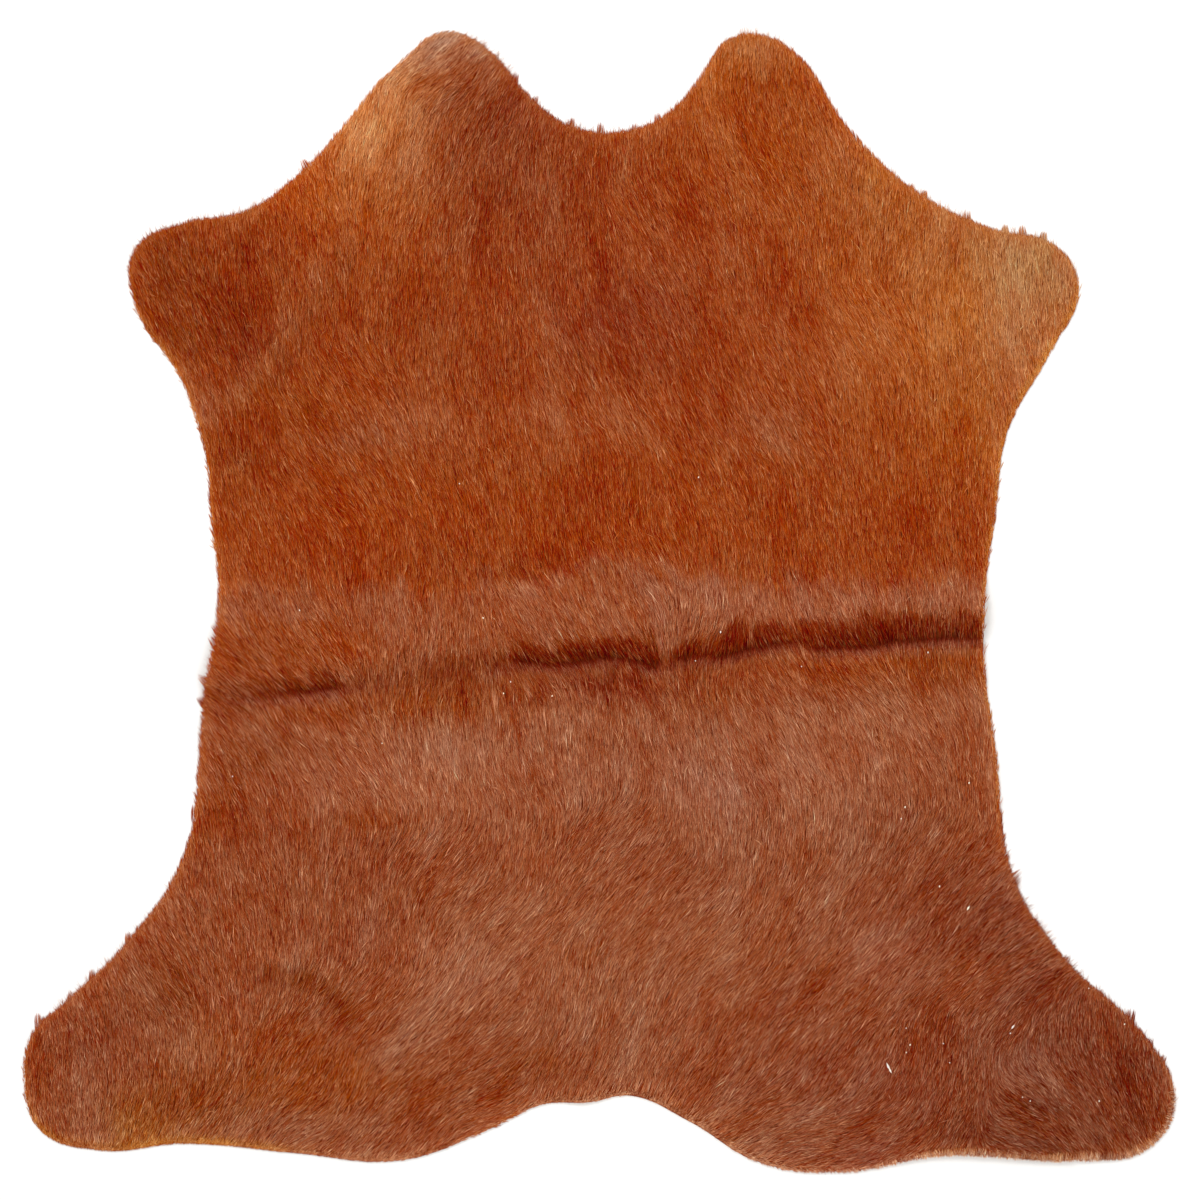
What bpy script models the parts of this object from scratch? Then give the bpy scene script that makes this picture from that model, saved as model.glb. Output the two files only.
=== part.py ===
"""A calf hide with its hair on, laid out as a rug: coat up, neck towards +Y.

It is one sheet, the leather with the coat that lies on it. Its outline is a smooth curve through the landmarks
of the cut. The sheet goes over the fold across the saddle and over some lower ripples without getting thinner,
and everywhere else its underside lies on the floor, at z = 0. The origin is on the floor under the middle.
"""

from collections import namedtuple

import bpy
import numpy as np
from mathutils.geometry import delaunay_2d_cdt

MM = 0.001

# Driving dimensions, in metres
HIDE_WIDTH = 0.900  # across the two hind shanks
HIDE_LENGTH = 0.891  # from the tips of the cheeks to the buttocks
BODY_DEPTH = 4.6 * MM  # 1.2 mm of leather under a coat 3.4 mm deep as it lies
RIM_DEPTH = 2.4 * MM  # at the cut edge, where the coat thins out
RIM_TAPER = 26 * MM  # from the cut edge to where the coat is at its full depth
SHANK_SHARE = 0.75  # how deep the shorter coat of the shanks and cheeks is, as a share of the body's
BODY_RADIUS = 300 * MM  # the coat gets shorter from here outwards
SHANK_RADIUS = 560 * MM  # and is at its shortest here

# How finely the sheet is divided, in metres
RIM_STEP = 12 * MM  # between points along the outline
COLUMN_PITCH = 15 * MM  # between points along a row
ROW_PITCH = 19 * MM  # between rows, away from the saddle fold
FOLD_ROW_PITCH = 8 * MM  # between rows over the saddle fold
FOLD_REACH = 72 * MM  # how far the close rows go to both sides of the crest
RIM_CLEARANCE = 9 * MM  # between the outline and the first row inside it
LIES_FLAT = 0.15 * MM  # the floor carries whatever would stand lower than this

COAT_COLOUR = (0.315, 0.075, 0.020, 1.0)
COAT_ROUGHNESS = 0.55

# The outline, anticlockwise seen from above. x and y are in mm from the middle of the hide.
Landmark = namedtuple("Landmark", "place x y")

OUTLINE = [
    Landmark("left cheek, tip", -122, 445),
    Landmark("left cheek, outer side", -150, 427),
    Landmark("left side of the neck", -228, 340),
    Landmark("left fore shank, front", -276, 306),
    Landmark("left fore shank, front", -330, 295),
    Landmark("left fore shank, tip", -362, 277),
    Landmark("left fore shank, tip", -363, 234),
    Landmark("left armpit", -327, 175),
    Landmark("left side of the belly", -307, 112),
    Landmark("left side of the belly", -302, 56),
    Landmark("left side of the belly, narrowest", -296, 2),
    Landmark("left flank", -308, -75),
    Landmark("left flank", -312, -130),
    Landmark("left flank", -323, -197),
    Landmark("left hind shank, front", -366, -263),
    Landmark("left hind shank, front", -416, -312),
    Landmark("left hind shank, tip", -443, -338),
    Landmark("left hind shank, tip", -450, -372),
    Landmark("left hind shank, tip", -437, -413),
    Landmark("left hind shank, back", -395, -428),
    Landmark("left thigh", -325, -423),
    Landmark("left thigh", -240, -430),
    Landmark("left buttock", -155, -436),
    Landmark("left buttock", -90, -413),
    Landmark("left of the tail", -46, -393),
    Landmark("root of the tail", -8, -391),
    Landmark("root of the tail", 24, -386),
    Landmark("right of the tail", 70, -406),
    Landmark("right buttock", 125, -438),
    Landmark("right buttock", 190, -445),
    Landmark("right thigh", 270, -432),
    Landmark("right thigh", 370, -436),
    Landmark("right hind shank, tip", 430, -426),
    Landmark("right hind shank, tip", 450, -388),
    Landmark("right hind shank, front", 430, -346),
    Landmark("right hind shank, front", 360, -275),
    Landmark("right flank", 320, -208),
    Landmark("right flank", 310, -125),
    Landmark("right side of the belly, narrowest", 299, -20),
    Landmark("right side of the belly", 309, 70),
    Landmark("right armpit", 318, 132),
    Landmark("right fore shank, back", 353, 197),
    Landmark("right fore shank, tip", 374, 245),
    Landmark("right fore shank, tip", 356, 278),
    Landmark("right fore shank, front", 305, 292),
    Landmark("right side of the neck", 245, 322),
    Landmark("right side of the neck", 195, 368),
    Landmark("right cheek, outer side", 155, 426),
    Landmark("right cheek, tip", 122, 444),
    Landmark("right cheek, inner side", 101, 439),
    Landmark("right cheek, inner side", 82, 412),
    Landmark("neck cut", 58, 384),
    Landmark("neck cut", 26, 369),
    Landmark("neck cut", -14, 369),
    Landmark("neck cut", -44, 384),
    Landmark("left cheek, inner side", -62, 402),
    Landmark("left cheek, inner side", -92, 435),
]

# A fold's crest runs through its stations, in mm. left and right are how far it spreads to each side of the crest
# there, seen along the fold.
Station = namedtuple("Station", "x y height left right")

SADDLE_FOLD = [
    Station(-330, -62, 8, 66, 20),
    Station(-235, -57, 10, 66, 20),
    Station(-156, -42, 8, 48, 24),
    Station(-78, -30, 13, 50, 28),
    Station(0, -26, 14, 58, 31),
    Station(47, -30, 14, 56, 32),
    Station(102, -18, 10, 36, 36),
    Station(157, -15, 10, 32, 34),
    Station(220, -9, 12, 30, 32),
    Station(330, -6, 12, 30, 32),
]

FOLDS = {
    "across the saddle": SADDLE_FOLD,
    "lip behind the saddle": [
        Station(-330, -94, 2, 12, 40),
        Station(-200, -88, 3, 12, 44),
        Station(0, -68, 3, 13, 50),
        Station(160, -56, 2, 12, 44),
        Station(330, -46, 3, 10, 38),
    ],
    "behind the left shoulder": [
        Station(-330, 178, 0, 24, 22),
        Station(-275, 168, 5, 24, 20),
        Station(-248, 204, 5, 24, 20),
        Station(-218, 252, 4, 24, 24),
        Station(-200, 300, 0, 24, 24),
    ],
    "left ribs": [
        Station(-250, 128, 0, 24, 28),
        Station(-190, 146, 4, 24, 28),
        Station(-120, 126, 3, 26, 30),
        Station(-60, 118, 0, 26, 30),
    ],
    "left side of the neck": [
        Station(-185, 335, 0, 30, 34),
        Station(-125, 255, 3, 34, 36),
        Station(-95, 160, 0, 30, 36),
    ],
    "right shoulder": [
        Station(345, 236, 0, 32, 32),
        Station(265, 195, 4, 38, 34),
        Station(205, 110, 0, 34, 34),
    ],
    "left thigh": [
        Station(-300, -272, 0, 15, 14),
        Station(-258, -277, 5, 16, 14),
        Station(-215, -289, 5, 16, 14),
        Station(-182, -318, 0, 15, 14),
    ],
    "left thigh, inner": [
        Station(-262, -300, 0, 12, 13),
        Station(-222, -318, 4, 12, 13),
        Station(-190, -345, 0, 12, 13),
    ],
    "left buttock": [
        Station(-88, -346, 0, 15, 14),
        Station(-48, -359, 4, 16, 14),
        Station(-12, -386, 3, 15, 14),
    ],
    "right thigh, along the cut": [
        Station(205, -438, 0, 20, 16),
        Station(300, -429, 4, 22, 16),
        Station(372, -430, 4, 22, 16),
        Station(432, -405, 0, 20, 16),
    ],
    "right flank": [
        Station(345, -152, 0, 34, 36),
        Station(250, -128, 3, 36, 42),
        Station(150, -150, 0, 34, 40),
    ],
}


def coat_material():
    material = bpy.data.materials.new("calf hair")
    material.use_nodes = True
    shader = material.node_tree.nodes["Principled BSDF"]
    shader.inputs["Base Color"].default_value = COAT_COLOUR
    shader.inputs["Roughness"].default_value = COAT_ROUGHNESS
    shader.inputs["Metallic"].default_value = 0.0
    return material


def drawn_outline():
    """The closed curve through the landmarks, as the close points that Blender draws it with."""
    curve = bpy.data.curves.new("outline", "CURVE")
    curve.dimensions = "2D"
    curve.fill_mode = "NONE"
    spline = curve.splines.new("BEZIER")
    spline.bezier_points.add(len(OUTLINE) - 1)
    for point, landmark in zip(spline.bezier_points, OUTLINE):
        point.co = (landmark.x * MM, landmark.y * MM, 0)
        point.handle_left_type = point.handle_right_type = "AUTO"
    spline.use_cyclic_u = True
    guide = bpy.data.objects.new("outline", curve)
    bpy.context.scene.collection.objects.link(guide)
    evaluated = guide.evaluated_get(bpy.context.evaluated_depsgraph_get())
    drawn = bpy.data.meshes.new_from_object(evaluated)
    points = np.array([vertex.co[:2] for vertex in drawn.vertices])
    bpy.data.objects.remove(guide)
    return points


def closed_loop(points):
    return np.vstack([points, points[:1]])


def outline_points():
    """The outline at the hide's true size, as evenly spaced points."""
    points = drawn_outline()
    low, high = points.min(axis=0), points.max(axis=0)
    points = (points - (low + high) / 2) * (HIDE_WIDTH, HIDE_LENGTH) / (high - low)
    loop = closed_loop(points)
    along = np.concatenate([[0], np.cumsum(np.linalg.norm(np.diff(loop, axis=0), axis=1))])
    steps = np.linspace(0, along[-1], round(along[-1] / RIM_STEP), endpoint=False)
    return np.column_stack([np.interp(steps, along, loop[:, 0]), np.interp(steps, along, loop[:, 1])])


def nearest_on_path(points, path):
    """For each point: its distance from the path, positive on the path's left, the nearest leg and the place on it."""
    start, run = path[:-1], np.diff(path, axis=0)
    offset = points[:, None] - start[None]
    place = np.clip((offset * run).sum(axis=2) / (run**2).sum(axis=1), 0, 1)
    gap = offset - place[:, :, None] * run
    distance = np.linalg.norm(gap, axis=2)
    leg = distance.argmin(axis=1)
    each = np.arange(len(points))
    gap, run = gap[each, leg], run[leg]
    side = run[:, 0] * gap[:, 1] - run[:, 1] * gap[:, 0]
    return np.copysign(distance[each, leg], side), leg, place[each, leg]


def rounded(stations, passes=3):
    """The stations in metres with the corners of their path cut. The two ends stay where they are."""
    rows = np.array(stations, float) * MM
    for _ in range(passes):
        early, late = rows[:-1] * 0.75 + rows[1:] * 0.25, rows[:-1] * 0.25 + rows[1:] * 0.75
        inner = np.stack([early, late], axis=1).reshape(-1, rows.shape[1])
        rows = np.vstack([rows[:1], inner[1:-1], rows[-1:]])
    return rows


def eased(share):
    """From 0 to 1 with level ends."""
    share = np.clip(share, 0, 1)
    return share * share * (3 - 2 * share)


def lift(points):
    """How high the underside stands over the floor. Where two folds meet, the higher one rules."""
    total = np.zeros(len(points))
    for stations in FOLDS.values():
        rows = rounded(stations)
        distance, leg, place = nearest_on_path(points, rows[:, :2])
        height, left, right = (rows[leg] + (rows[leg + 1] - rows[leg]) * place[:, None])[:, 2:].T
        spread = np.where(distance > 0, left, right)
        rise = height * eased(1 - np.abs(distance) / spread)
        total = np.maximum(total, rise) + 0.3 * np.minimum(total, rise)
    return np.where(total < LIES_FLAT, 0, total)


def inner_points(outline):
    """Points inside the outline, in staggered rows that follow the saddle fold and are closer together over it."""
    crest = rounded(SADDLE_FOLD)
    near = np.arange(-FOLD_REACH, FOLD_REACH + MM, FOLD_ROW_PITCH)
    beyond = np.arange(FOLD_REACH + ROW_PITCH, HIDE_LENGTH, ROW_PITCH)
    columns = np.arange(-HIDE_WIDTH / 2, HIDE_WIDTH / 2, COLUMN_PITCH)
    rows = []
    for number, over_crest in enumerate(np.concatenate([-beyond[::-1], near, beyond])):
        x = columns + (number % 2) * COLUMN_PITCH / 2
        rows.append(np.column_stack([x, np.interp(x, crest[:, 0], crest[:, 1]) + over_crest]))
    points = np.vstack(rows)
    inside_by, _, _ = nearest_on_path(points, closed_loop(outline))
    return points[inside_by > RIM_CLEARANCE]


def coat_depth(points, outline):
    """From 0 at the cut edge to 1 on the body, with less on the shanks and cheeks."""
    inside_by, _, _ = nearest_on_path(points, closed_loop(outline))
    outwards = eased((np.linalg.norm(points, axis=1) - BODY_RADIUS) / (SHANK_RADIUS - BODY_RADIUS))
    deepest = 1 - (1 - SHANK_SHARE) * outwards
    return deepest * np.sqrt(np.clip(inside_by / RIM_TAPER, 0, 1))


def hide(collection):
    outline = outline_points()
    flat = np.vstack([outline, inner_points(outline)])
    rim = list(range(len(outline)))
    vertices, _, faces, *_ = delaunay_2d_cdt(flat.tolist(), [], [rim], 1, 1e-6)
    flat = np.array([tuple(vertex) for vertex in vertices])

    mesh = bpy.data.meshes.new("hide")
    mesh.from_pydata(np.column_stack([flat, lift(flat)]).tolist(), [], faces)
    mesh.materials.append(coat_material())
    mesh.shade_smooth()
    sheet = bpy.data.objects.new("hide", mesh)
    collection.objects.link(sheet)

    depth = sheet.vertex_groups.new(name="coat depth")
    for index, weight in enumerate(coat_depth(flat, outline)):
        depth.add([index], float(weight), "REPLACE")
    solidify = sheet.modifiers.new("leather and coat", "SOLIDIFY")
    solidify.thickness = BODY_DEPTH
    solidify.offset = 1
    solidify.vertex_group = depth.name
    solidify.thickness_vertex_group = RIM_DEPTH / BODY_DEPTH


def main():
    for old in list(bpy.data.objects):
        bpy.data.objects.remove(old)
    collection = bpy.data.collections.new("calf_hide")
    bpy.context.scene.collection.children.link(collection)
    hide(collection)


main()
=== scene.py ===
import math

import bmesh
import bpy
import numpy as np
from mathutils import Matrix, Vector
from mathutils.bvhtree import BVHTree
from mathutils.geometry import delaunay_2d_cdt


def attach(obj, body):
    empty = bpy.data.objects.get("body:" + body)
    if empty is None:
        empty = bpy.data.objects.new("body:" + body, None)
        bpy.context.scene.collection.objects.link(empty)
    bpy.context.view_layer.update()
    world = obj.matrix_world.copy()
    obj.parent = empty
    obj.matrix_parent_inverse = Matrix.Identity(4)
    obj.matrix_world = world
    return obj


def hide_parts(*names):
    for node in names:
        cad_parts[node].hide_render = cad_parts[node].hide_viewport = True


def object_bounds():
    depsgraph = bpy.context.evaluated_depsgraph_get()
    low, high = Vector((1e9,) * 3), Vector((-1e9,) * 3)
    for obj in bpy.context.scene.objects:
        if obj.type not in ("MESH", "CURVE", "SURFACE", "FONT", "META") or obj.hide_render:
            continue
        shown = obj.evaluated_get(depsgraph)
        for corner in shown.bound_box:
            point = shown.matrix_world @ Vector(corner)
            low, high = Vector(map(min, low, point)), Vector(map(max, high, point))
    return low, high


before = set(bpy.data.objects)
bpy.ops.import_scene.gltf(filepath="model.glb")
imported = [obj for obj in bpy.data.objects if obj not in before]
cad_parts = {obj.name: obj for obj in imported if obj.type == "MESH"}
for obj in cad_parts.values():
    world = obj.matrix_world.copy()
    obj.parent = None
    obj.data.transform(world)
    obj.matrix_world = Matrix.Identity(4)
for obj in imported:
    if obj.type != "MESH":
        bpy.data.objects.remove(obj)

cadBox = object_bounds()
mm = 0.001
chance = np.random.default_rng(11)  # every random draw below comes from here, in a fixed order

# Places in the tables are in mm from the middle of the hide: x to the right, y towards the neck.
# Headings say which way the tips of the hair point: degrees from the neck, positive to the right.


def shares(colour):
    # sRGB hex as three numbers from 0 to 1
    return np.array([int(colour[i:i + 2], 16) / 255 for i in (1, 3, 5)])


def linear(colour):
    # sRGB, as hex or as numbers, to the linear numbers that the shaders work in
    parts = shares(colour) if isinstance(colour, str) else np.clip(colour, 0, 1)
    return np.where(parts <= 0.04045, parts / 12.92, ((parts + 0.055) / 1.055) ** 2.4)


def addNode(tree, kind, settings=None, links=None):
    # settings name one of the node's inputs or properties; links name the input and the output that feeds it
    node = tree.nodes.new("ShaderNode" + kind)
    for name, value in (settings or {}).items():
        if name in node.inputs:
            node.inputs[name].default_value = value
        else:
            setattr(node, name, value)
    for name, source in (links or {}).items():
        tree.links.new(source, node.inputs[name])
    return node


def newMaterial(name):
    # also gives the places on the piece, in metres, which the patterns are laid out by
    material = bpy.data.materials.new(name)
    material.use_nodes = True
    tree = material.node_tree
    tree.nodes.clear()
    return material, tree, addNode(tree, "TexCoord").outputs["Object"]


def finished(tree, settings, links):
    shader = addNode(tree, "BsdfPrincipled", settings, links)
    addNode(tree, "OutputMaterial", {}, {"Surface": shader.outputs["BSDF"]})


def placed(name, data):
    thing = bpy.data.objects.new(name, data)
    bpy.context.scene.collection.objects.link(thing)
    return thing


# The form of the hide is read off the CAD sheet.
form = {
    "leather": 1.3 * mm,  # thickness of the leather under the coat
    "gridPitch": 3 * mm,  # between the places where heights, headings and colours are worked out
    "gridMargin": 24 * mm,  # how far those places go past the cut edge
    "rimParts": 4,  # points on the cut edge for each one that the CAD sheet has
    "sheetPitch": 8 * mm,  # between the points of the leather
    "rimGap": 5 * mm,  # from the cut edge to the first of them
}


def weldedSolid(mesh):
    solid = bmesh.new()
    solid.from_mesh(mesh)
    bmesh.ops.remove_doubles(solid, verts=solid.verts, dist=0.001 * mm)
    solid.verts.ensure_lookup_table()
    return solid


def cutEdge(solid):
    # the lower edge of the cut side, anticlockwise seen from above
    onward = {}
    for edge in solid.edges:
        for loop in edge.link_loops:
            side = loop.link_loop_radial_next.face
            if loop.face.normal.z < -0.7 and abs(side.normal.z) < 0.5:
                onward[loop.vert.index] = loop.link_loop_next.vert.index
    at = first = min(onward)
    order = [first]
    while onward[at] != first:
        at = onward[at]
        order.append(at)
    return np.array([solid.verts[i].co.xy for i in reversed(order)])


def refined(loop, parts):
    # more points, on a Catmull-Rom curve through the ones there are
    before, after, beyond = (np.roll(loop, shift, 0) for shift in (1, -1, -2))
    steps = []
    for t in np.arange(parts) / parts:
        bend = (2 * before - 5 * loop + 4 * after - beyond) * t ** 2
        twist = (3 * loop - before - 3 * after + beyond) * t ** 3
        steps.append(loop + ((after - before) * t + bend + twist) / 2)
    return np.stack(steps, 1).reshape(-1, 2)


solid = weldedSolid(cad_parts["hide"].data)
rim = refined(cutEdge(solid), form["rimParts"])
gridX = np.arange(cadBox[0].x - form["gridMargin"], cadBox[1].x + form["gridMargin"], form["gridPitch"])
gridY = np.arange(cadBox[0].y - form["gridMargin"], cadBox[1].y + form["gridMargin"], form["gridPitch"])
overX, overY = np.meshgrid(gridX, gridY)


def read(field, x, y):
    # what a field holds at any place, from the four grid points round it
    u = np.clip((x - gridX[0]) / form["gridPitch"], 0, len(gridX) - 1.001)
    v = np.clip((y - gridY[0]) / form["gridPitch"], 0, len(gridY) - 1.001)
    i, j = u.astype(int), v.astype(int)
    u, v = u - i, v - j
    if field.ndim > 2:
        u, v = u[..., None], v[..., None]
    near = field[j, i] * (1 - u) + field[j, i + 1] * u
    far = field[j + 1, i] * (1 - u) + field[j + 1, i + 1] * u
    return near * (1 - v) + far * v


def carriedOut(field):
    # gives the grid points beside the hide the height of its edge, for hair that hangs over it
    for ring in range(int(form["gridMargin"] / form["gridPitch"])):
        padded = np.pad(field, 1, constant_values=np.nan)
        rows, columns = field.shape
        near = [padded[j:j + rows, i:i + columns] for j in range(3) for i in range(3)]
        known = sum(~np.isnan(part) for part in near)
        total = sum(np.nan_to_num(part) for part in near)
        field = np.where(np.isnan(field) & (known > 0), total / np.maximum(known, 1), field)
    return np.nan_to_num(field)


def heights(tree, start, way):
    found = np.full(overX.shape, np.nan)
    for place in np.ndindex(found.shape):
        hit = tree.ray_cast(Vector((overX[place], overY[place], start)), Vector((0, 0, way)))[0]
        if hit is not None:
            found[place] = hit.z
    return found


def edgeDistance():
    # how far each grid point is from the cut edge, positive inside the hide
    count = len(rim)
    wall = [(x, y, z) for z in (-1, 1) for x, y in rim]
    faces = [(i, (i + 1) % count, count + (i + 1) % count, count + i) for i in range(count)]
    tree = BVHTree.FromPolygons(wall, faces)
    found = np.zeros(overX.shape)
    for place in np.ndindex(found.shape):
        point = Vector((overX[place], overY[place], 0))
        nearest, normal, _, distance = tree.find_nearest(point)
        found[place] = -math.copysign(distance, (point - nearest).dot(normal))
    return found


solidTree = BVHTree.FromBMesh(solid)
undersideZ = carriedOut(heights(solidTree, -1, 1))
coatTopZ = carriedOut(heights(solidTree, 1, -1))
leatherZ = undersideZ + form["leather"]
solid.free()
inward = edgeDistance()
print("form read:", len(rim), "points on the cut edge")


def smoothNoise(x, y, size, seed):
    # soft random hills between -1 and 1, about this far apart
    table = np.random.default_rng(seed).uniform(-1, 1, (64, 64))
    u, v = x / size, y / size
    i, j = np.floor(u).astype(int), np.floor(v).astype(int)
    fu, fv = u - i, v - j
    fu, fv = fu * fu * (3 - 2 * fu), fv * fv * (3 - 2 * fv)
    corner = [table[(j + b) % 64, (i + a) % 64] for b in (0, 1) for a in (0, 1)]
    low = corner[0] * (1 - fu) + corner[1] * fu
    high = corner[2] * (1 - fu) + corner[3] * fu
    return low * (1 - fv) + high * fv


# Which way the hair lies, part by part: x, y and heading of the coat
hairLies = {
    "left cheek": [(-120, 426, 50), (-83, 416, 35), (-176, 357, 12), (-126, 336, 15), (-86, 296, 7)],
    "neck": [(-64, 387, 25), (-43, 366, 8), (-4, 357, -3), (46, 357, -2), (-54, 307, -3), (46, 307, -26)],
    "right cheek": [
        (106, 416, 2), (136, 426, -3), (156, 376, -18), (106, 366, -18), (126, 326, -26), (166, 326, -25),
        (86, 286, -20), (119, 278, -12), (199, 315, 0), (249, 308, 0),
    ],
    "right fore shank": [(258, 278, 8), (318, 278, -3), (348, 258, -5), (298, 218, -8), (358, 228, -5)],
    "right shoulder": [
        (329, 178, -8), (186, 286, -2), (146, 257, -8), (206, 206, -28), (156, 187, -25), (218, 159, -12),
        (258, 138, -5), (298, 119, -3), (249, 88, -5), (199, 65, -10),
    ],
    "left fore shank": [
        (-236, 317, -12), (-296, 286, -8), (-346, 257, -20), (-364, 257, -30), (-325, 206, -22),
    ],
    "left shoulder": [
        (-296, 177, -20), (-236, 257, -8), (-226, 206, -5), (-206, 177, -30), (-166, 237, 2),
        (-291, 114, -10), (-301, 54, -12), (-260, 54, -20), (-220, 84, -30), (-180, 124, -28),
    ],
    "back": [
        (-200, 155, -30), (-140, 94, -22), (-121, 145, -12), (-111, 54, -12), (-116, 217, 0),
        (-74, 257, -3), (-4, 257, -8), (46, 222, -26), (86, 227, -18), (-76, 187, -5), (-24, 177, -20),
        (-61, 114, -12), (-31, 74, -8), (9, 84, -5), (29, 145, -28), (69, 134, -25), (139, 134, -30),
        (89, 79, -18), (149, 65, -8), (36, 177, -20), (98, 178, -20), (249, 54, -8),
    ],
    "before the saddle": [
        (-241, 25, -10), (-161, 14, -3), (9, 25, -20), (49, 14, -25), (89, 14, -5), (149, 4, -8),
    ],
    "on the saddle": [
        (-260, -6, -20), (-241, -25, -35), (-281, -46, -45), (-301, -76, -45), (-211, -55, -40),
        (-161, -25, -15), (-171, -55, -3), (-141, -55, 20), (-121, -46, 0), (-91, -36, -10),
        (-51, -25, -30), (-31, -46, -35), (19, -15, -25), (39, -36, -40), (59, -36, 18), (79, -25, 20),
        (109, -36, 5), (139, -36, -35), (169, -25, -15), (189, -25, -30), (209, -36, -40), (229, -22, -3),
        (269, -22, -3), (209, 4, -12), (259, 4, -8),
    ],
    "behind the saddle": [
        (-281, -105, -40), (-241, -105, -30), (-201, -95, -30), (-141, -105, -12), (-81, -105, -5),
        (-31, -105, -8), (9, -76, -8), (49, -65, -25), (69, -105, -15), (149, -60, -35), (249, -50, -8),
        (219, -76, -45), (259, -86, -30), (129, -105, -25),
    ],
    "left loin": [
        (-301, -126, -30), (-268, -137, -25), (-299, -146, -25), (-228, -106, -35), (-188, -126, -30),
        (-159, -156, -25), (-129, -126, -10), (-59, -137, -20), (-308, -177, -5), (-259, -186, -12),
    ],
    "left thigh": [
        (-209, -196, 5), (-179, -226, 5), (-148, -196, 35), (-108, -226, 40), (-59, -196, 10),
        (-69, -257, 40), (-108, -276, 25), (-159, -266, 10), (-209, -266, -3), (-268, -257, -10),
    ],
    "left hind shank": [
        (-340, -300, -32), (-368, -264, -27), (-407, -311, -20), (-434, -358, 0), (-376, -343, -8),
        (-289, -296, -10), (-249, -296, 10), (-209, -300, 30), (-188, -316, 45), (-228, -326, 38),
    ],
    "left buttock": [
        (-148, -326, 40), (-89, -326, 40), (-129, -366, 50), (-69, -356, 55), (-80, -400, 65),
        (-308, -350, 2), (-268, -376, 20), (-209, -376, 22), (-282, -398, 35), (-235, -398, 55),
        (-423, -413, -10), (-391, -398, 0), (-376, -413, 20), (-156, -400, 45), (-156, -429, 40),
    ],
    "root of the tail": [(-39, -347, 20), (-49, -376, 20), (-10, -362, 25), (33, -362, 20), (16, -311, 20)],
    "rump": [
        (0, -116, -3), (79, -123, -12), (126, -127, -25), (181, -123, -25), (79, -170, -5), (126, -194, 3),
    ],
    "right flank": [(204, -108, -15), (249, -116, -22), (302, -123, -5), (220, -139, -10), (294, -155, -8)],
    "right thigh": [
        (0, -210, 35), (32, -194, 38), (63, -233, 40), (40, -272, 35), (79, -272, 40), (126, -233, 25),
        (196, -170, 5), (196, -233, 30), (235, -210, 25), (267, -217, 38), (314, -217, 45), (282, -194, 33),
        (275, -256, 28), (314, -249, 50), (345, -276, 55), (282, -296, 50), (353, -303, 60),
    ],
    "right buttock": [
        (-23, -311, 10), (79, -350, 30), (88, -376, 35), (181, -311, 40), (235, -300, 40), (196, -366, 35),
        (109, -411, 60), (191, -430, 75), (210, -431, 60), (228, -408, 55), (261, -385, 20),
    ],
    "right hind shank": [
        (267, -350, 10), (314, -335, 35), (283, -367, -8), (246, -373, 10), (361, -327, -5),
        (392, -327, -5), (287, -385, 30), (339, -382, -40), (330, -398, -75), (376, -404, -50),
        (376, -385, -35), (431, -358, 0), (395, -395, -30), (412, -389, -20), (431, -395, -15),
        (404, -415, -35),
    ],
}
lieReach = 17 * mm  # how far round its place each heading counts


def lieField():
    # the mean of the headings nearby, as a unit vector; far from all of them the nearest one counts
    rows = np.array([row for part in hairLies.values() for row in part], float)
    angle = np.radians(rows[:, 2])
    total = np.zeros((2,) + overX.shape)
    for x, y, turn in zip(rows[:, 0] * mm, rows[:, 1] * mm, angle):
        near = (overX - x) ** 2 + (overY - y) ** 2
        weight = np.exp(-near / (2 * lieReach ** 2)) + 1e-3 / (1 + (near / lieReach ** 2) ** 2)
        total += weight * np.array([math.sin(turn), math.cos(turn)])[:, None, None]
    return np.moveaxis(total / np.linalg.norm(total, axis=0), 0, 2)


lie = lieField()
inwardY, inwardX = np.gradient(inward, form["gridPitch"])
fromCut = lie[..., 0] * inwardX + lie[..., 1] * inwardY  # 1 where the hair points straight in from the cut


def heading(x, y):
    toX, toY = np.moveaxis(read(lie, x, y), -1, 0)
    return np.arctan2(toX, toY)


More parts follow.
